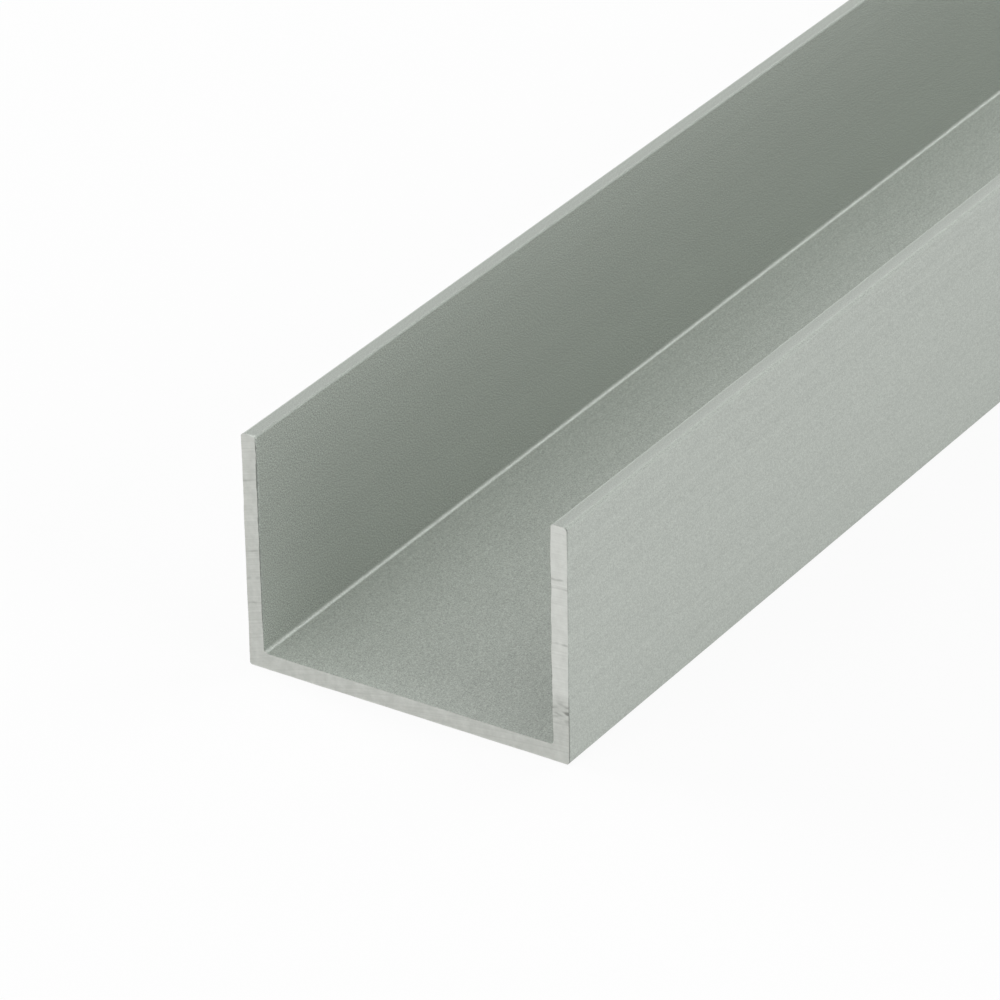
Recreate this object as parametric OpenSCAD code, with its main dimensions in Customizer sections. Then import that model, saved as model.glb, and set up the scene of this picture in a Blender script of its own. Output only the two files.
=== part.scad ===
// Aluminium U-channel: one straight extruded bar, sawn square at both ends.
// The bar lies on its web along X, with the flanges standing up and the mouth of the channel on top.
// The origin is under the middle of the web, and all sizes are in millimetres.

/* [Section] */
// Width over the outside faces of the two flanges
channel_width = 43; // [20:0.5:120]
// Height from the underside of the web to the flange tips
channel_height = 30; // [10:0.5:100]
// Thickness of the web
web_thickness = 2; // [1:0.1:5]
// Thickness of each flange
flange_thickness = 2; // [1:0.1:5]

/* [Edges] */
// Radius in the two inside corners, where a flange meets the web
root_radius = 0.5; // [0.1:0.05:2]
// Radius on the two outside corners, along the underside
heel_radius = 0.3; // [0.1:0.05:1]
// Radius on the outside edge of each flange tip
tip_outside_radius = 0.5; // [0.1:0.05:0.55]
// Radius on the inside edge of each flange tip
tip_inside_radius = 0.25; // [0.1:0.05:0.4]

/* [Bar] */
// Length between the two saw cuts
bar_length = 1000; // [100:1:6000]

/* [Hidden] */

// Segments of a full turn, for the preview
$fn = 48;
// How far a tool reaches past the outline that it cuts or joins
overlap = 0.5;

outside_y = channel_width / 2;
inside_y = outside_y - flange_thickness;

// The corner between two edges that meet at the origin, less the quarter disc that rounds it.
// Added in an inside corner it is a fillet, and taken off an outside corner it leaves a rounded edge.
module spandrel(radius) {
    difference() {
        translate([-overlap, -overlap]) square(radius + overlap);
        translate([radius, radius]) circle(radius);
    }
}

// One half of the section, from the middle of the web out to the flange on the positive side.
module half_section() {
    difference() {
        union() {
            square([outside_y, web_thickness]);
            translate([inside_y, 0]) square([flange_thickness, channel_height]);
            translate([inside_y, web_thickness]) mirror([1, 0]) spandrel(root_radius);
        }
        translate([outside_y, 0]) mirror([1, 0]) spandrel(heel_radius);
        translate([outside_y, channel_height]) rotate(180) spandrel(tip_outside_radius);
        translate([inside_y, channel_height]) mirror([0, 1]) spandrel(tip_inside_radius);
    }
}

// The whole section, symmetric about the middle of the web.
module section() {
    half_section();
    mirror([1, 0]) half_section();
}

// The bar: the section drawn out along X, about its own middle.
module u_channel() {
    color([0.69, 0.71, 0.68])
        rotate([90, 0, 90])
            linear_extrude(height = bar_length, center = true) section();
}

u_channel();
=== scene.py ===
"""Looks of an aluminium U-channel: one sawn length of satin anodised extrusion, lying with its mouth up.

Sizes are in millimetres, and become metres where a mesh, a lamp or the camera is made.
"""

import logging
import math
from dataclasses import dataclass, field
from enum import Enum
from typing import Any

import bmesh
import bpy
import numpy as np
from mathutils import Matrix, Vector, noise

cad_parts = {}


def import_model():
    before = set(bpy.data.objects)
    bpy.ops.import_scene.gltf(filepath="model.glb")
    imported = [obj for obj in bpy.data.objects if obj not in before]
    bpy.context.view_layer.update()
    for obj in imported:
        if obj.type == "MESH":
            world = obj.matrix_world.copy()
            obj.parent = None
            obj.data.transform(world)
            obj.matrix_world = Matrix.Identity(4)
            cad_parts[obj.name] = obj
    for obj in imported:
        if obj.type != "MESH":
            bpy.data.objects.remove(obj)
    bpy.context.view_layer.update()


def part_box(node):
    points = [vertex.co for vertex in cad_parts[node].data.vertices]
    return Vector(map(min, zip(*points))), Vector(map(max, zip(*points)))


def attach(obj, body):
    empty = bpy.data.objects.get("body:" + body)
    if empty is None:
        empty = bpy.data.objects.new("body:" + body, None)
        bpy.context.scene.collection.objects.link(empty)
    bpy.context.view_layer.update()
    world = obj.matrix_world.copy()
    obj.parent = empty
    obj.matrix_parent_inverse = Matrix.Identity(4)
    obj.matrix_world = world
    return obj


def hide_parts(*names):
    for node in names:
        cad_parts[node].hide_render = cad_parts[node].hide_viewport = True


LOG = logging.getLogger("u_channel")
NODE = "u_channel"
BODY = "root"
MM = 0.001
# Less than any size on the bar, in millimetres, for a divisor that mustn't be 0.
TINY = 0.001
# The middle of a noise texture, which runs from 0 to 1.
MIDDLE = 0.5
# The sockets of a Mix node that mixes colours: its two inputs and its output.
MIX_A = 6
MIX_B = 7
MIX_RESULT = 2


class Face(Enum):
    """The two kinds of surface on the bar, by their place in its list of materials."""

    DRAWN = 0
    SAWN = 1


class End(Enum):
    """The two ends of the bar, by the way that they face along X."""

    NEAR = -1
    FAR = 1


class Flange(Enum):
    """The two flanges, by the side of the web on which they stand along Y."""

    LEFT = 1
    RIGHT = -1


class Mark(Enum):
    """What the mesh hands to its materials about each point, by the attribute's name."""

    ETCH = "etch"
    GRAIN = "grain"
    CHIPPED_FILM = "chipped_film"
    BLADE_MARK = "blade_mark"
    BURNISH = "burnish"


class Pattern(Enum):
    """The patterns of noise on a cut, by how far each lies from the cut's own seed."""

    MARK_WANDER = 1.0
    MARK_BREAK = 3.0
    STROKE = 5.0
    TOOTH = 7.0
    WAVE = 11.0
    PATCH = 17.0
    BURR = 23.0
    BURR_FINE = 29.0
    CHIP = 31.0


def linear(hex_colour: str) -> tuple[float, float, float, float]:
    """Turn an sRGB hex colour into the linear colour that a shader takes.

    Args:
        hex_colour: a colour such as "#B0B5AF".

    Returns:
        Linear red, green and blue, and an alpha of 1.
    """
    channels = [int(hex_colour[i : i + 2], 16) / 255 for i in (1, 3, 5)]
    red, green, blue = (c / 12.92 if c <= 0.04045 else ((c + 0.055) / 1.055) ** 2.4 for c in channels)
    return red, green, blue, 1.0


def add_node(
    tree: bpy.types.NodeTree,
    kind: str,
    settings: dict[str | int, Any] | None = None,
    links: dict[str | int, Any] | None = None,
) -> bpy.types.Node:
    """Add a node with its settings and links.

    Args:
        tree: the node tree that takes the node.
        kind: the node's type, without the leading "ShaderNode".
        settings: values by the node's own property, or else by an input's name or number.
        links: sources by input, each a node, which gives its first output, or a node and an output.

    Returns:
        The new node.
    """
    node = tree.nodes.new("ShaderNode" + kind)
    for key, value in (settings or {}).items():
        if isinstance(key, str) and hasattr(node, key):
            setattr(node, key, value)
        else:
            node.inputs[key].default_value = value
    for key, source in (links or {}).items():
        giver, output = source if isinstance(source, tuple) else (source, 0)
        tree.links.new(giver.outputs[output], node.inputs[key])
    return node


def new_material(name: str) -> tuple[bpy.types.Material, bpy.types.NodeTree]:
    """Make an empty material that is built from nodes.

    Args:
        name: the material's name.

    Returns:
        The material and its node tree, with no node in it.
    """
    material = bpy.data.materials.new(name)
    material.use_nodes = True
    material.node_tree.nodes.clear()
    return material, material.node_tree


def per_metre(size_mm: float) -> float:
    """Give the scale of a pattern whose features are size_mm apart, in object space."""
    return 1.0 / (size_mm * MM)


def lumps(points: np.ndarray, pitch: float, seed: float) -> np.ndarray:
    """Give smooth noise at points of a plane.

    Args:
        points: rows of two numbers, in millimetres.
        pitch: about how far apart the lumps are, in millimetres.
        seed: which of the many patterns to take.

    Returns:
        One value for each point, from about -1 to 1.
    """
    return np.array([noise.noise((a / pitch, b / pitch, seed)) for a, b in points])


@dataclass(frozen=True)
class SatinAnodised:
    """Aluminium, etched to a satin before it was anodised silver.

    The etch leaves a fine grain and the film dulls the metal, so it is an even, slightly green grey.
    It reflects a blurred room, and is darker where the walls of the channel reflect each other.
    """

    name: str = "satin_anodised_aluminium"
    pale: str = "#C3C8C2"
    deep: str = "#B0B4AF"
    # Painted shade: a dark hairline beside each cut, standing in for the shade of the burr and of the
    # broken edge.
    edge_shade: str = "#70746F"
    roughness: float = 0.62
    roughness_swing: float = 0.04
    # How much rougher it is on the rounded tips, where the etch bites deeper.
    etch_swing: float = 0.25
    # The real etch is ten times finer and wouldn't show, so it is drawn at the size of a pixel or two.
    grain_mm: float = 0.15
    grain_detail: float = 1.0
    grain_height_mm: float = 0.015
    # How strongly it shows: most on the inside of the flanges, where light only grazes it.
    grain_outside: float = 3.0
    grain_inside: float = 9.0
    # Faint lines that the die draws along the bar.
    die_line_mm: float = 0.7
    die_line_run_mm: float = 300.0
    die_line_detail: float = 3.0
    die_line_breakup: float = 0.6
    die_line_contrast: float = 0.5

    def material(self) -> bpy.types.Material:
        """Build the material.

        Returns:
            The material of the drawn faces.
        """
        material, tree = new_material(self.name)
        place = add_node(tree, "TexCoord")
        grain = add_node(
            tree,
            "TexNoise",
            {"Scale": per_metre(self.grain_mm), "Detail": self.grain_detail},
            {"Vector": (place, "Object")},
        )
        drawn_out = add_node(
            tree,
            "Mapping",
            {"Scale": (self.die_line_mm / self.die_line_run_mm, 1.0, 1.0)},
            {"Vector": (place, "Object")},
        )
        die_lines = add_node(
            tree,
            "TexNoise",
            {
                "Scale": per_metre(self.die_line_mm),
                "Detail": self.die_line_detail,
                "Roughness": self.die_line_breakup,
            },
            {"Vector": drawn_out},
        )
        inside = add_node(tree, "Attribute", {"attribute_name": Mark.GRAIN.value})
        contrast = add_node(
            tree,
            "MapRange",
            {"To Min": self.grain_outside, "To Max": self.grain_inside},
            {"Value": (inside, "Fac")},
        )
        centred = add_node(tree, "Math", {"operation": "SUBTRACT", 1: MIDDLE}, {0: grain})
        speckle = add_node(
            tree,
            "Math",
            {"operation": "MULTIPLY_ADD", 2: MIDDLE},
            {0: centred, 1: contrast},
        )
        streak = add_node(
            tree,
            "Math",
            {"operation": "MULTIPLY_ADD", 1: self.die_line_contrast, 2: -MIDDLE * self.die_line_contrast},
            {0: die_lines},
        )
        tone = add_node(tree, "Math", {"operation": "ADD"}, {0: speckle, 1: streak})
        film = add_node(
            tree,
            "Mix",
            {
                "data_type": "RGBA",
                "clamp_factor": False,
                MIX_A: linear(self.deep),
                MIX_B: linear(self.pale),
            },
            {0: tone},
        )
        # Painted shade beside the cuts: the drawn faces darken towards this colour where the mesh marks
        # them.
        edge_shade = add_node(tree, "Attribute", {"attribute_name": Mark.CHIPPED_FILM.value})
        colour = add_node(
            tree,
            "Mix",
            {"data_type": "RGBA", MIX_B: linear(self.edge_shade)},
            {0: (edge_shade, "Fac"), MIX_A: (film, MIX_RESULT)},
        )
        gloss = add_node(
            tree,
            "MapRange",
            {
                "To Min": self.roughness - self.roughness_swing,
                "To Max": self.roughness + self.roughness_swing,
            },
            {"Value": grain},
        )
        etch = add_node(tree, "Attribute", {"attribute_name": Mark.ETCH.value})
        gloss = add_node(
            tree,
            "Math",
            {"operation": "MULTIPLY_ADD", 1: self.etch_swing},
            {0: (etch, "Fac"), 2: gloss},
        )
        bump = add_node(
            tree,
            "Bump",
            {"Distance": self.grain_height_mm * MM},
            {"Height": grain},
        )
        shader = add_node(
            tree,
            "BsdfPrincipled",
            {"Metallic": 1.0},
            {"Base Color": (colour, MIX_RESULT), "Roughness": gloss, "Normal": bump},
        )
        add_node(tree, "OutputMaterial", links={"Surface": shader})
        return material


@dataclass(frozen=True)
class SawnAluminium:
    """Bare aluminium, as a circular saw leaves it.

    With no film on it the metal is paler and more neutral than the faces.
    The teeth leave fine arcs, and the blade a dull line where the feed paused.
    """

    name: str = "sawn_bare_aluminium"
    dull: str = "#B6B8B3"
    bright: str = "#D3D5D0"
    marked: str = "#868883"
    roughness: float = 0.42
    roughness_swing: float = 0.1
    # The arcs of single teeth, drawn a little coarser than they are so that they show.
    tooth_line_mm: float = 0.22
    tooth_depth_mm: float = 0.006
    tooth_contrast: float = 0.3
    # Patches that the teeth have smeared.
    smear_mm: float = 0.9
    smear_detail: float = 3.0
    smear_breakup: float = 0.6
    smear_contrast: float = 0.45

    def material(self, blade_axis: tuple[float, float]) -> bpy.types.Material:
        """Build the material.

        Args:
            blade_axis: where the axis of the blade crosses the cut, as Y and Z in millimetres.

        Returns:
            The material of the sawn ends.
        """
        material, tree = new_material(self.name)
        place = add_node(tree, "TexCoord")
        flat = add_node(
            tree,
            "VectorMath",
            {"operation": "MULTIPLY", 1: (0.0, 1.0, 1.0)},
            {0: (place, "Object")},
        )
        radius = add_node(
            tree,
            "VectorMath",
            {"operation": "DISTANCE", 1: (0.0, blade_axis[0] * MM, blade_axis[1] * MM)},
            {0: flat},
        )
        teeth = add_node(
            tree,
            "TexNoise",
            {"noise_dimensions": "1D", "Scale": per_metre(self.tooth_line_mm)},
            {"W": (radius, "Value")},
        )
        smear = add_node(
            tree,
            "TexNoise",
            {
                "Scale": per_metre(self.smear_mm),
                "Detail": self.smear_detail,
                "Roughness": self.smear_breakup,
            },
            {"Vector": (place, "Object")},
        )
        burnish = add_node(tree, "Attribute", {"attribute_name": Mark.BURNISH.value})
        mark = add_node(tree, "Attribute", {"attribute_name": Mark.BLADE_MARK.value})
        uneven = add_node(
            tree,
            "MapRange",
            {"To Min": -self.smear_contrast, "To Max": self.smear_contrast},
            {"Value": smear},
        )
        tone = add_node(tree, "Math", {"operation": "ADD"}, {0: (burnish, "Fac"), 1: uneven})
        lines = add_node(
            tree,
            "MapRange",
            {"To Min": -self.tooth_contrast, "To Max": self.tooth_contrast},
            {"Value": teeth},
        )
        tone = add_node(tree, "Math", {"operation": "ADD", "use_clamp": True}, {0: tone, 1: lines})
        metal = add_node(
            tree,
            "Mix",
            {"data_type": "RGBA", MIX_A: linear(self.dull), MIX_B: linear(self.bright)},
            {0: tone},
        )
        colour = add_node(
            tree,
            "Mix",
            {"data_type": "RGBA", MIX_B: linear(self.marked)},
            {0: (mark, "Fac"), MIX_A: (metal, MIX_RESULT)},
        )
        gloss = add_node(
            tree,
            "MapRange",
            {
                "To Min": self.roughness + self.roughness_swing,
                "To Max": self.roughness - self.roughness_swing,
            },
            {"Value": tone},
        )
        bump = add_node(
            tree,
            "Bump",
            {"Distance": self.tooth_depth_mm * MM},
            {"Height": teeth},
        )
        shader = add_node(
            tree,
            "BsdfPrincipled",
            {"Metallic": 1.0},
            {"Base Color": (colour, MIX_RESULT), "Roughness": gloss, "Normal": bump},
        )
        add_node(tree, "OutputMaterial", links={"Surface": shader})
        return material


@dataclass(frozen=True)
class StudioPaper:
    """Matt white paper, lit so evenly that it looks white and keeps only a soft shadow."""

    name: str = "matt_white_paper"
    colour: str = "#D8D8D8"
    # How much of the paper is a white that no shadow reaches, where the camera looks at it and where
    # the metal reflects it.
    glow: float = 0.9
    mirrored_glow: float = 0.4

    def material(self) -> bpy.types.Material:
        """Build the material.

        Returns:
            The floor's material.
        """
        material, tree = new_material(self.name)
        rays = add_node(tree, "LightPath")
        paper = add_node(tree, "BsdfDiffuse", {"Color": linear(self.colour)})
        white = add_node(tree, "Emission", {"Strength": 1.0})
        seen = add_node(
            tree,
            "Math",
            {"operation": "MULTIPLY", 1: self.glow},
            {0: (rays, "Is Camera Ray")},
        )
        glossy = add_node(
            tree,
            "Math",
            {"operation": "MAXIMUM"},
            {0: (rays, "Is Glossy Ray"), 1: (rays, "Is Transmission Ray")},
        )
        mirrored = add_node(tree, "Math", {"operation": "MULTIPLY", 1: self.mirrored_glow}, {0: glossy})
        share = add_node(tree, "Math", {"operation": "MAXIMUM"}, {0: seen, 1: mirrored})
        surface = add_node(tree, "MixShader", links={0: share, 1: paper, 2: white})
        add_node(tree, "OutputMaterial", links={"Surface": surface})
        # Its glow is met by chance and never sought out as a lamp, so that every ray gets its own level.
        material.cycles.emission_sampling = "NONE"
        return material


@dataclass(frozen=True)
class ChannelSection:
    """The U-shaped section, with the sizes of the part's source."""

    width: float
    height: float
    web: float = 2.0
    flange: float = 2.0
    root_radius: float = 0.5
    heel_radius: float = 0.3
    tip_outside_radius: float = 0.5
    tip_inside_radius: float = 0.25
    # How closely the outline is stepped, and into how many steps a rounded edge is cut.
    step: float = 0.11
    arc_steps: int = 10
    # How strongly the grain shows on the web, where it is 1 on the inside of a flange.
    web_grain: float = 0.3

    def rails(self) -> tuple[np.ndarray, np.ndarray]:
        """Follow the outside and the inside of the U from one flange tip to the other.

        Returns:
            The outside and the inside rail, as rows of Y and Z.
            Their points face each other across the wall.
        """
        halves = [np.concatenate(stretches) for stretches in zip(*self._half())]
        whole = [np.concatenate([half, half[-2::-1] * (-1.0, 1.0)]) for half in halves]
        return whole[0], whole[1]

    def etch(self, outline: np.ndarray) -> np.ndarray:
        """Find how much deeper than elsewhere the etch has bitten.

        Args:
            outline: rows of Y and Z on the outline.

        Returns:
            For each point, 1 in the middle of a tip's rounded edge, less beside it and 0 on a flat face.
        """
        etched = np.zeros(len(outline))
        middle = (self.width - self.flange) / 2
        for radius, side in ((self.tip_outside_radius, 1), (self.tip_inside_radius, -1)):
            out = side * (np.abs(outline[:, 0]) - middle) - (self.flange / 2 - radius)
            up = outline[:, 1] - (self.height - radius)
            # Halfway round the edge both are the radius over the root of 2, and this is 1.
            etched += 2 * np.maximum(out, 0.0) * np.maximum(up, 0.0) / radius**2
        return etched

    def grain(self, outline: np.ndarray) -> np.ndarray:
        """Find how strongly the grain of the etch shows.

        Args:
            outline: rows of Y and Z on the outline.

        Returns:
            For each point, 1 on the inside of a flange, less on the web and 0 outside the channel.
        """
        across, up = np.abs(outline[:, 0]), outline[:, 1]
        inside, floor = self.width / 2 - self.flange, self.web + self.root_radius
        facing = (across < inside + self.flange / 2) & (up < self.height - self.tip_inside_radius)
        on_web = (across < inside - self.root_radius) & (up > self.web / 2)
        return np.where(facing & (up > floor), 1.0, self.web_grain * on_web)

    def _half(self) -> list[tuple[np.ndarray, np.ndarray]]:
        """Follow both sides of one half of the U, from the tip at +Y to the middle of the web.

        Returns:
            The tip, the flange, the corner and the web, each as an outside and an inside stretch.
        """
        outside, inside = self.width / 2, self.width / 2 - self.flange
        turn = np.linspace(0.0, math.pi / 2, self.arc_steps + 1)

        drop = self.tip_outside_radius * (1 - np.cos(turn))
        bow = np.minimum(drop, self.tip_inside_radius) - self.tip_inside_radius
        tip_z = self.height - drop
        tip_out = outside - self.tip_outside_radius * (1 - np.sin(turn))
        tip_in = inside + self.tip_inside_radius - np.sqrt(self.tip_inside_radius**2 - bow**2)

        shoulder, floor = self.height - self.tip_outside_radius, self.web + self.root_radius
        flange_z = self._stretch(shoulder, floor)[1:-1]

        upright = np.linspace(floor, self.heel_radius, self.arc_steps + 1)[:-1]
        level = np.linspace(outside - self.heel_radius, inside - self.root_radius, self.arc_steps + 1)[1:]
        heel = np.stack([np.cos(turn), -np.sin(turn)], 1) * self.heel_radius
        heel = heel + (outside - self.heel_radius, self.heel_radius)
        corner_out = np.concatenate([self._pair(outside, upright), heel, self._pair(level, 0.0)])
        swing = np.linspace(0.0, math.pi / 2, len(corner_out))
        corner_in = self._pair(
            inside - self.root_radius * (1 - np.cos(swing)),
            floor - self.root_radius * np.sin(swing),
        )

        web_y = self._stretch(inside - self.root_radius, 0.0)[1:]
        return [
            (self._pair(tip_out, tip_z), self._pair(tip_in, tip_z)),
            (self._pair(outside, flange_z), self._pair(inside, flange_z)),
            (corner_out, corner_in),
            (self._pair(web_y, 0.0), self._pair(web_y, self.web)),
        ]

    def _stretch(self, start: float, stop: float) -> np.ndarray:
        """Step evenly from start to stop, about a step at a time."""
        return np.linspace(start, stop, max(2, round(abs(stop - start) / self.step) + 1))

    @staticmethod
    def _pair(y: float | np.ndarray, z: float | np.ndarray) -> np.ndarray:
        """Set Y and Z side by side, one row for each point."""
        return np.stack(np.broadcast_arrays(y, z), 1).astype(float)


@dataclass(frozen=True)
class FeedMark:
    """A line across one flange, where the feed paused and the blade left a fine step."""

    flange: Flange
    height: float
    strength: float


@dataclass(frozen=True)
class SawCut:
    """A square cut by a circular saw that comes up through the bar from below."""

    section: ChannelSection
    seed: float
    # The blade's axis, below the bar and to the right of it.
    axis_y: float = -30.0
    axis_z: float = -140.0
    # The lines of the feed: how wide and deep they are, how they wander, and how far apart they break off.
    marks: tuple[FeedMark, ...] = (
        FeedMark(Flange.LEFT, 8.3, 0.45),
        FeedMark(Flange.LEFT, 11.6, 0.5),
        FeedMark(Flange.LEFT, 15.0, 0.5),
        FeedMark(Flange.LEFT, 20.9, 0.35),
        FeedMark(Flange.LEFT, 24.2, 0.45),
        FeedMark(Flange.RIGHT, 15.2, 0.7),
        FeedMark(Flange.RIGHT, 22.2, 0.35),
        FeedMark(Flange.RIGHT, 23.3, 0.8),
    )
    mark_width: float = 0.12
    mark_step: float = 0.025
    mark_wander: float = 0.15
    mark_wander_pitch: float = 1.2
    mark_cover: float = 0.55
    mark_break: float = 0.8
    # Dull strokes low on the right flange.
    smudge_height: float = 6.5
    smudge_reach: float = 1.0
    stroke_length: float = 1.1
    stroke_width: float = 0.4
    stroke_contrast: float = 2.6
    # The arcs of the teeth, and the slow waves of a thin wall that gives way.
    tooth_pitch: float = 0.5
    tooth_depth: float = 0.006
    wave_pitch: float = 7.0
    wave_depth: float = 0.03
    # The cut lies this far inside the bar's length, which leaves room for a burr.
    recess: float = 0.12
    # The left flange's inner edge is broken: how deep, at the web and at the tip.
    break_low: float = 0.06
    break_high: float = 0.22
    # The break wanders between these shares of that depth.
    break_least: float = 0.3
    break_most: float = 2.0
    # The other edges have a burr: how far it stands out, how much of an edge it covers, and how far along
    # the face it reaches.
    burr_inside: float = 0.1
    burr_outside: float = 0.03
    burr_cover: float = 0.5
    burr_reach: float = 0.3
    # How uneven both are, and how far above the web they are full.
    burr_pitch: float = 3.5
    burr_pitch_fine: float = 0.7
    ragged: float = 0.8
    ragged_fine: float = 0.4
    lip_run: float = 3.75
    # How far from the cut the painted shade of the burr reaches as a dark hairline, and how strong it is
    # low down, at the tips and elsewhere.
    shade_reach: float = 0.3
    shade_most: float = 0.9
    shade_least: float = 0.25
    shade_pitch: float = 1.5
    shade_swing: float = 0.5
    # Where that painted shade grows and ends at a tip, in radii of its outside edge below the top.
    shade_turns: tuple[float, ...] = (2.0, 1.0, 0.5, 0.0)
    # How strongly the broken edge is painted dark as shade, and over what share of its depth that fades.
    shade_break: float = 0.8
    shade_break_fade: float = 0.5
    # How bright the cut is at the web and at the tips, and where the blade rubbed the right flange.
    burnish_low: float = 0.16
    burnish_high: float = 0.22
    burnish_right: float = 0.7
    rub_start: float = 7.4
    rub_full: float = 9.0
    patch_pitch: float = 1.4
    patch_contrast: float = 0.24

    def _lumps(self, points: np.ndarray, pitch: float, pattern: Pattern) -> np.ndarray:
        """Give the cut's own noise of one pattern."""
        return lumps(points, pitch, self.seed + pattern.value)

    def _radius(self, points: np.ndarray) -> np.ndarray:
        """Measure how far points of the cut are from the blade's axis."""
        return np.hypot(points[:, 0] - self.axis_y, points[:, 1] - self.axis_z)

    def _on(self, flange: Flange, points: np.ndarray) -> np.ndarray:
        """Tell which points are on a flange or under it."""
        wall = self.section.flange + self.section.root_radius
        return points[:, 0] * flange.value > self.section.width / 2 - wall

    def _above_marks(self, points: np.ndarray) -> list[np.ndarray]:
        """Find how far points lie above each line of the feed.

        Args:
            points: rows of Y and Z.

        Returns:
            For each mark, a distance for each point. It is large for a point off the mark's flange.
        """
        radius = self._radius(points)
        middle = (self.section.width - self.section.flange) / 2
        wander = self.mark_wander * self._lumps(points, self.mark_wander_pitch, Pattern.MARK_WANDER)
        above = []
        for mark in self.marks:
            crossing = self._radius(np.array([[mark.flange.value * middle, mark.height]]))
            away = np.where(self._on(mark.flange, points), radius - crossing, self.section.height)
            above.append(away + wander)
        return above

    def mark(self, points: np.ndarray) -> np.ndarray:
        """Find how dull the blade has left points of the cut.

        Args:
            points: rows of Y and Z.

        Returns:
            One value for each point, from 0 to 1.
        """
        lines = sum(
            mark.strength * np.exp(-((above / self.mark_width) ** 2))
            for mark, above in zip(self.marks, self._above_marks(points))
        )
        breaks = self._lumps(points, self.mark_break, Pattern.MARK_BREAK)
        kept = np.clip(self.mark_cover + breaks, 0.0, 1.0)
        along = points / (self.stroke_length, self.stroke_width)
        strokes = np.clip(self.stroke_contrast * self._lumps(along, 1.0, Pattern.STROKE), 0.0, 1.0)
        rise = (points[:, 1] - self.smudge_height) / self.smudge_reach
        smudge = np.exp(-(rise**2)) * self._on(Flange.RIGHT, points)
        return np.clip(lines * kept + smudge * strokes, 0.0, 1.0)

    def depth(self, points: np.ndarray) -> np.ndarray:
        """Find how far points of the cut lie inside the bar's length.

        Args:
            points: rows of Y and Z.

        Returns:
            One depth for each point.
        """
        radius = self._radius(points)
        rings = np.stack([radius, np.zeros(len(radius))], 1)
        teeth = self._lumps(rings, self.tooth_pitch, Pattern.TOOTH)
        waves = self._lumps(points, self.wave_pitch, Pattern.WAVE)
        steps = [np.tanh(above / self.mark_width) for above in self._above_marks(points)]
        # The lines step out and in by turns, half a step to either side.
        up_and_down = sum(step if index % 2 else -step for index, step in enumerate(steps))
        return (
            self.recess
            + self.tooth_depth * teeth
            + self.wave_depth * waves
            + self.mark_step / 2 * up_and_down
        )

    def burnish(self, points: np.ndarray) -> np.ndarray:
        """Find how bright the blade has rubbed points of the cut.

        Args:
            points: rows of Y and Z.

        Returns:
            One value for each point, from 0 to 1.
        """
        up = points[:, 1]
        level = np.interp(up, (0.0, self.section.height), (self.burnish_low, self.burnish_high))
        rubbed = np.interp(up, (self.rub_start, self.rub_full), (0.0, 1.0)) * self._on(Flange.RIGHT, points)
        level = level + (self.burnish_right - level) * rubbed
        patches = self.patch_contrast * self._lumps(points, self.patch_pitch, Pattern.PATCH)
        return np.clip(level + patches, 0.0, 1.0)

    def lip(self, rail: np.ndarray, inside: bool) -> np.ndarray:
        """Find how the edge of the cut has come out, along one rail of the section.

        Args:
            rail: rows of Y and Z.
            inside: whether the rail faces the channel.

        Returns:
            For each point, how far a burr stands out, or less than 0 where the edge is broken.
        """
        uneven = self.ragged * self._lumps(rail, self.burr_pitch, Pattern.BURR)
        uneven += self.ragged_fine * self._lumps(rail, self.burr_pitch_fine, Pattern.BURR_FINE)
        burr = np.clip(self.burr_cover + uneven, 0.0, 1.0)
        if not inside:
            return self.burr_outside * burr
        rise = np.maximum(rail[:, 1] - self.section.web, 0.0)
        broken = np.interp(rise, (0.0, self.section.height), (self.break_low, self.break_high))
        broken *= np.clip(1 + uneven, self.break_least, self.break_most)
        # The burr and the break start on the web, and are full a short way up the flange.
        towards_left = np.clip(rail[:, 0] / self.section.flange, -1.0, 1.0)
        towards_left *= np.minimum(1.0, rise / self.lip_run)
        burred = np.maximum(-towards_left, 0.0) * self.burr_inside * burr
        return burred - np.maximum(towards_left, 0.0) * broken

    def paint_edge_shade(self, edge: np.ndarray, lip: np.ndarray, gap: float) -> np.ndarray:
        """Find where a dark hairline of painted shade lies beside the cut, standing in for the shade of the
        burr and of the broken edge.

        Args:
            edge: rows of Y and Z round the section.
            lip: how far a burr stands out at each of them, or less than 0 where the edge is broken.
            gap: the distance from the cut.

        Returns:
            One value for each point, from 0 to 1.
        """
        outside = np.abs(edge[:, 0]) > (self.section.width - self.section.flange) / 2
        turns = self.section.height - self.section.tip_outside_radius * np.array(self.shade_turns)
        cover = np.interp(
            edge[:, 1],
            (self.rub_start, self.rub_full, *turns),
            (self.shade_most, self.shade_least, self.shade_least, self.shade_most, self.shade_most, 0.0),
        )
        shade_noise = self.shade_swing * self._lumps(edge, self.shade_pitch, Pattern.CHIP)
        beside = outside * np.clip(cover + shade_noise, 0.0, 1.0) * max(0.0, 1.0 - gap / self.shade_reach)

        # The broken edge is painted dark too, as shade, fading over part of its depth.
        below_top = self.section.height - edge[:, 1]
        in_break = np.interp(below_top, (0.0, self.shade_pitch), (0.0, self.shade_break)) * (lip < 0)
        depth_left = 1 - gap / np.maximum(-lip, TINY)
        return np.maximum(beside, in_break * np.clip(depth_left / self.shade_break_fade, 0.0, 1.0))


@dataclass
class Blocks:
    """The points of a mesh, gathered block by block with what is known about each."""

    places: list[np.ndarray] = field(default_factory=list)
    marks: dict[Mark, list[np.ndarray]] = field(default_factory=lambda: {mark: [] for mark in Mark})

    @property
    def count(self) -> int:
        """Count the points so far."""
        return sum(len(block) for block in self.places)

    def add(self, places: np.ndarray, marks: dict[Mark, np.ndarray]) -> None:
        """Add a block of points.

        Args:
            places: rows of X, Y and Z.
            marks: what is known about each point, where it isn't 0.
        """
        self.places.append(places)
        for mark, values in self.marks.items():
            values.append(marks.get(mark, np.zeros(len(places))))


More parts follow.
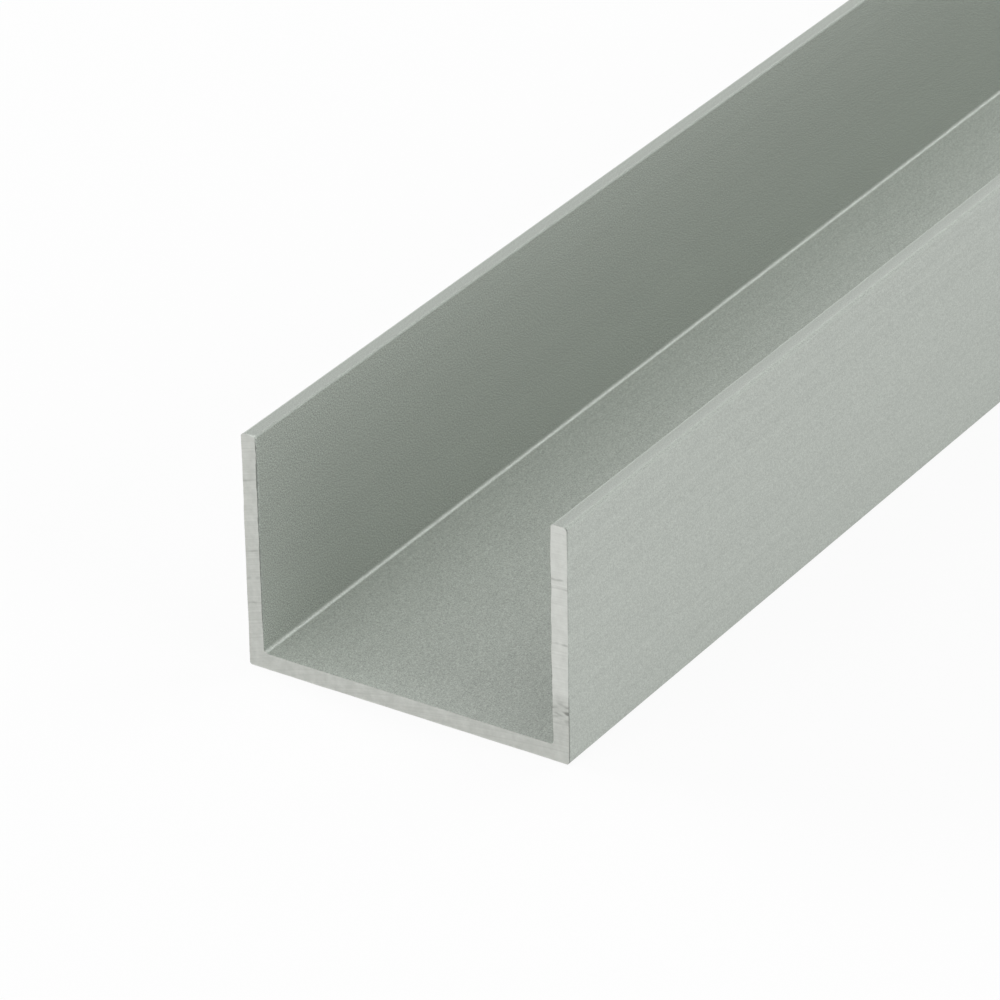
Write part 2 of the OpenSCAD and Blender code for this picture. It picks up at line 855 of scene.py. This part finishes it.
@dataclass
class ChannelBar:
    """The bar itself: one mesh with two sawn ends."""

    section: ChannelSection
    length: float
    cuts: dict[End, SawCut]
    # Steps across the wall on a sawn end, and rings beside the cut, by their distance from it.
    wall_steps: int = 18
    ring_gaps: tuple[float, ...] = (0.05, 0.11, 0.2, 0.32, 0.6)
    name: str = "u_channel_bar"

    def build(self) -> bpy.types.Object:
        """Make the mesh and dress it.

        Returns:
            The bar, which rides on the frame and stands for the plain node.
        """
        bar = bpy.data.objects.new(self.name, self._mesh())
        bpy.context.scene.collection.objects.link(bar)
        self._dress(bar)
        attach(bar, BODY)
        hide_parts(NODE)
        return bar

    def _dress(self, bar: bpy.types.Object) -> None:
        """Give the bar its two finishes.

        Args:
            bar: the bar's object.
        """
        near = self.cuts[End.NEAR]
        finishes = {
            Face.DRAWN: SatinAnodised().material(),
            Face.SAWN: SawnAluminium().material((near.axis_y, near.axis_z)),
        }
        for face in Face:
            bar.data.materials.append(finishes[face])

    def _mesh(self) -> bpy.types.Mesh:
        """Join the two sawn ends by the long faces.

        Returns:
            A closed mesh, in metres.
        """
        rails = self.section.rails()
        rows, columns = len(rails[0]), self.wall_steps + 1
        number = np.arange(rows * columns).reshape(rows, columns)
        loop = np.concatenate([number[:, 0], number[-1, 1:-1], number[::-1, -1], number[0, -2:0:-1]])
        quads = np.stack([number[:-1, :-1], number[1:, :-1], number[1:, 1:], number[:-1, 1:]], -1)

        blocks = Blocks()
        faces, kinds, chains = [], [], []
        for end in End:
            faces.append(quads.reshape(-1, 4) + blocks.count)
            kinds.append(np.full(len(faces[-1]), Face.SAWN.value))
            chains.append(self._add_end(end, rails, loop, blocks))
        hoops = chains[0] + chains[1][::-1]
        for here, there in zip(hoops, hoops[1:]):
            faces.append(np.stack([here, np.roll(here, -1), np.roll(there, -1), there], 1))
            kinds.append(np.full(len(here), Face.DRAWN.value))

        mesh = bpy.data.meshes.new(self.name)
        mesh.from_pydata(np.concatenate(blocks.places) * MM, [], np.concatenate(faces).tolist())
        mesh.polygons.foreach_set("material_index", np.concatenate(kinds))
        for mark, values in blocks.marks.items():
            attribute = mesh.attributes.new(mark.value, "FLOAT", "POINT")
            attribute.data.foreach_set("value", np.concatenate(values).astype(np.float32))
        self._finish_normals(mesh)
        return mesh

    def _add_end(
        self,
        end: End,
        rails: tuple[np.ndarray, np.ndarray],
        loop: np.ndarray,
        blocks: Blocks,
    ) -> list[np.ndarray]:
        """Add the points of one sawn end, and of the rings beside it.

        Args:
            end: which end it is.
            rails: the outside and the inside of the section.
            loop: the numbers of the points round the edge of the cut.
            blocks: the points so far, which grow.

        Returns:
            The numbers of the points in the edge of the cut and in each ring, going inwards.
        """
        cut = self.cuts[end]
        lips = [cut.lip(rail, inside) for rail, inside in zip(rails, (False, True))]
        shifts = [self._away(rails[i], rails[1 - i]) * lips[i][:, None] for i in (0, 1)]
        plain = self._across(*rails)
        shift = self._across(*shifts)
        lip = self._across(lips[0][:, None], lips[1][:, None])[loop, 0]
        sawn = plain + shift

        hoops = [loop + blocks.count]
        depth = cut.depth(sawn)
        depth[loop] -= np.maximum(lip, 0.0)
        edge = plain[loop]
        film = {Mark.ETCH: self.section.etch(edge), Mark.GRAIN: self.section.grain(edge)}
        marks = {Mark.BLADE_MARK: cut.mark(sawn), Mark.BURNISH: cut.burnish(sawn)}
        for mark, values in (film | {Mark.CHIPPED_FILM: cut.paint_edge_shade(edge, lip, 0.0)}).items():
            marks[mark] = np.zeros(len(sawn))
            marks[mark][loop] = values
        blocks.add(self._stand(end, sawn, depth), marks)

        for gap in self.ring_gaps:
            hoops.append(np.arange(len(loop)) + blocks.count)
            reach = np.where(lip < 0, np.maximum(-lip, gap), cut.burr_reach)
            fade = np.clip(1 - gap / reach, 0.0, 1.0)
            # A broken edge slopes evenly, and a burr eases into the face.
            fade = np.where(lip < 0, fade, fade**2)
            ring = edge + shift[loop] * fade[:, None]
            marks = film | {Mark.CHIPPED_FILM: cut.paint_edge_shade(edge, lip, gap)}
            blocks.add(self._stand(end, ring, depth[loop] + gap), marks)
        return hoops

    def _across(self, outside: np.ndarray, inside: np.ndarray) -> np.ndarray:
        """Step across the wall from the outside to the inside, row by row.

        Args:
            outside: one row of numbers for each point of the outside rail.
            inside: the same for the inside rail.

        Returns:
            The rows of each step, in the order in which the points of a cut are numbered.
        """
        share = np.linspace(0.0, 1.0, self.wall_steps + 1)[None, :, None]
        steps = outside[:, None, :] * (1 - share) + inside[:, None, :] * share
        return steps.reshape(-1, steps.shape[-1])

    @staticmethod
    def _away(rail: np.ndarray, other: np.ndarray) -> np.ndarray:
        """Find the way out of the wall along a rail.

        Args:
            rail: rows of Y and Z.
            other: the rail on the other side of the wall.

        Returns:
            Rows of length 1, at right angles to the rail.
        """
        ahead = np.gradient(rail, axis=0)
        normal = np.stack([ahead[:, 1], -ahead[:, 0]], 1)
        normal *= np.sign(np.sum(normal * (rail - other), 1))[:, None]
        return normal / np.linalg.norm(normal, axis=1)[:, None]

    def _stand(self, end: End, flat: np.ndarray, depth: np.ndarray) -> np.ndarray:
        """Set points of the section at their depth from one end."""
        return np.column_stack([end.value * (self.length / 2 - depth), flat])

    @staticmethod
    def _finish_normals(mesh: bpy.types.Mesh) -> None:
        """Turn the faces outwards, and shade them smooth up to the edges of the cuts.

        Args:
            mesh: the bar's mesh.
        """
        work = bmesh.new()
        work.from_mesh(mesh)
        bmesh.ops.recalc_face_normals(work, faces=work.faces)
        for face in work.faces:
            face.smooth = True
        for edge in work.edges:
            edge.smooth = len({face.material_index for face in edge.link_faces}) == 1
        work.to_mesh(mesh)
        work.free()


def outlook(azimuth: float, elevation: float) -> Vector:
    """Give the direction from the object to an onlooker.

    Args:
        azimuth: degrees round the object, with 0 looking along +Y and 90 along -X.
        elevation: degrees above the horizon.

    Returns:
        A vector of length 1.
    """
    a, e = math.radians(azimuth), math.radians(elevation)
    return Vector((math.sin(a) * math.cos(e), -math.cos(a) * math.cos(e), math.sin(e)))


@dataclass(frozen=True)
class SoftBox:
    """A square lamp with a white front, aimed at the middle of the near end."""

    name: str
    azimuth: float
    elevation: float
    distance: float
    side: float
    power_w: float

    def build(self, aim: Vector) -> bpy.types.Object:
        """Hang the lamp.

        Args:
            aim: the point that it faces, in metres.

        Returns:
            The lamp's object.
        """
        data = bpy.data.lights.new(self.name, "AREA")
        data.shape = "SQUARE"
        data.size = self.side * MM
        data.energy = self.power_w
        lamp = bpy.data.objects.new(self.name, data)
        back = outlook(self.azimuth, self.elevation)
        lamp.location = aim + back * (self.distance * MM)
        lamp.rotation_euler = (-back).to_track_quat("-Z", "Y").to_euler()
        lamp.visible_camera = False
        bpy.context.scene.collection.objects.link(lamp)
        return lamp


@dataclass
class Studio:
    """A white room: a wide paper floor, an even white surround and soft lamps."""

    floor_side: float = 120000.0
    # The floor lies just under the bar, so that the two don't share a plane.
    floor_gap: float = 0.1
    # How bright the ceiling is for all but the camera, where white is 1, and the heights between which
    # it fades out towards the horizon, as the upward part of a direction of length 1.
    ceiling: float = 0.595
    fade_low: float = 0.25
    fade_high: float = 0.85
    # How bright the walls are where the metal reflects them, where white is 1.
    mirrored: float = 0.1
    lamps: tuple[SoftBox, ...] = (
        SoftBox("left_softbox", 180.0, 20.0, 2340.0, 1600.0, 50.0),
        SoftBox("right_softbox", 0.0, 20.0, 2340.0, 1600.0, 34.8),
        SoftBox("front_softbox", -90.0, 20.0, 2340.0, 1600.0, 25.0),
        SoftBox("front_left_softbox", -115.0, 20.0, 2340.0, 1600.0, 19.8),
        SoftBox("back_softbox", 66.8, 38.2, 970.0, 500.0, 2.0),
        SoftBox("end_softbox", 90.0, 32.0, 943.0, 500.0, 0.85),
    )

    def build(self, aim: Vector) -> None:
        """Lay the floor, light the room and set how colours are shown.

        Args:
            aim: the point that the lamps face, in metres.
        """
        self._lay_floor()
        self._light_surround()
        for lamp in self.lamps:
            lamp.build(aim)
        bpy.context.scene.view_settings.view_transform = "Standard"

    def _lay_floor(self) -> None:
        """Make the paper floor, which is stage and no part of the object."""
        half, low = self.floor_side / 2 * MM, -self.floor_gap * MM
        corners = [(-half, -half, low), (half, -half, low), (half, half, low), (-half, half, low)]
        mesh = bpy.data.meshes.new("paper_floor")
        mesh.from_pydata(corners, [], [(0, 1, 2, 3)])
        mesh.materials.append(StudioPaper().material())
        floor = bpy.data.objects.new("paper_floor", mesh)
        bpy.context.scene.collection.objects.link(floor)

    def _light_surround(self) -> None:
        """Make the room white for the camera, and a soft ceiling with dim walls for the metal."""
        world = bpy.data.worlds.new("white_room")
        world.use_nodes = True
        world.node_tree.nodes.clear()
        tree = world.node_tree
        direction = add_node(tree, "SeparateXYZ", links={0: (add_node(tree, "TexCoord"), "Generated")})
        ceiling = add_node(
            tree,
            "MapRange",
            {"From Min": self.fade_low, "From Max": self.fade_high, "To Max": self.ceiling},
            {"Value": (direction, "Z")},
        )
        rays = add_node(tree, "LightPath")
        glossy = add_node(
            tree,
            "Math",
            {"operation": "MAXIMUM"},
            {0: (rays, "Is Glossy Ray"), 1: (rays, "Is Transmission Ray")},
        )
        walls = add_node(tree, "Math", {"operation": "MULTIPLY", 1: self.mirrored}, {0: glossy})
        room = add_node(tree, "Math", {"operation": "ADD"}, {0: ceiling, 1: walls})
        strength = add_node(tree, "Math", {"operation": "MAXIMUM"}, {0: room, 1: (rays, "Is Camera Ray")})
        white = add_node(tree, "Background", {"Color": linear("#FFFFFF")}, {"Strength": strength})
        add_node(tree, "OutputWorld", links={"Surface": white})
        # Met by chance and never sought out as a lamp, so that every kind of ray gets its own level.
        world.cycles.sampling_method = "NONE"
        bpy.context.scene.world = world


@dataclass
class StudioCamera:
    """A long lens that looks into the near end of the channel from above."""

    # Where it stands, round the point that it looks at.
    azimuth: float = -56.943
    elevation: float = 28.886
    roll: float = -0.984
    distance: float = 710.0
    # The point that it looks at: this far in from the near end, over the middle of the web.
    aim_inset: float = 19.99
    aim_height: float = 18.06
    lens: float = 225.14
    sensor: float = 36.0
    # How near and how far it sees.
    clip_near: float = 50.0
    clip_far: float = 200000.0

    def aim(self, bar: ChannelBar) -> Vector:
        """Give the point that the camera looks at, in metres."""
        return Vector((self.aim_inset - bar.length / 2, 0.0, self.aim_height)) * MM

    def build(self, bar: ChannelBar) -> bpy.types.Object:
        """Set up the camera and make it the scene's own.

        Args:
            bar: the bar that it looks at.

        Returns:
            The camera's object.
        """
        data = bpy.data.cameras.new("long_lens")
        data.sensor_fit = "HORIZONTAL"
        data.sensor_width = self.sensor
        data.lens = self.lens
        data.clip_start = self.clip_near * MM
        data.clip_end = self.clip_far * MM
        camera = bpy.data.objects.new("long_lens", data)
        back = outlook(self.azimuth, self.elevation)
        right = Vector((0.0, 0.0, 1.0)).cross(back).normalized()
        turn = Matrix((right, back.cross(right), back)).transposed()
        turn = turn @ Matrix.Rotation(math.radians(self.roll), 3, "Z")
        spot = self.aim(bar) + back * (self.distance * MM)
        camera.matrix_world = Matrix.Translation(spot) @ turn.to_4x4()
        bpy.context.scene.collection.objects.link(camera)
        bpy.context.scene.camera = camera
        return camera


def main() -> None:
    """Build the bar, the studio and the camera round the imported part."""
    logging.basicConfig(level=logging.INFO, format="%(name)s: %(message)s")
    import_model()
    low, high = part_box(NODE)
    length, width, height = (high - low) / MM

    section = ChannelSection(width, height)
    cuts = {End.NEAR: SawCut(section, seed=2.0), End.FAR: SawCut(section, seed=61.0)}
    bar = ChannelBar(section, length, cuts)
    piece = bar.build()
    LOG.info("%s: %d faces, %.0f mm long", piece.name, len(piece.data.polygons), length)

    camera = StudioCamera()
    camera.build(bar)
    LOG.info("camera: %.0f mm lens, %.0f mm away", camera.lens, camera.distance)
    studio = Studio()
    studio.build(camera.aim(bar))
    LOG.info("studio: %d lamps", len(studio.lamps))


if __name__ == "__main__":
    main()
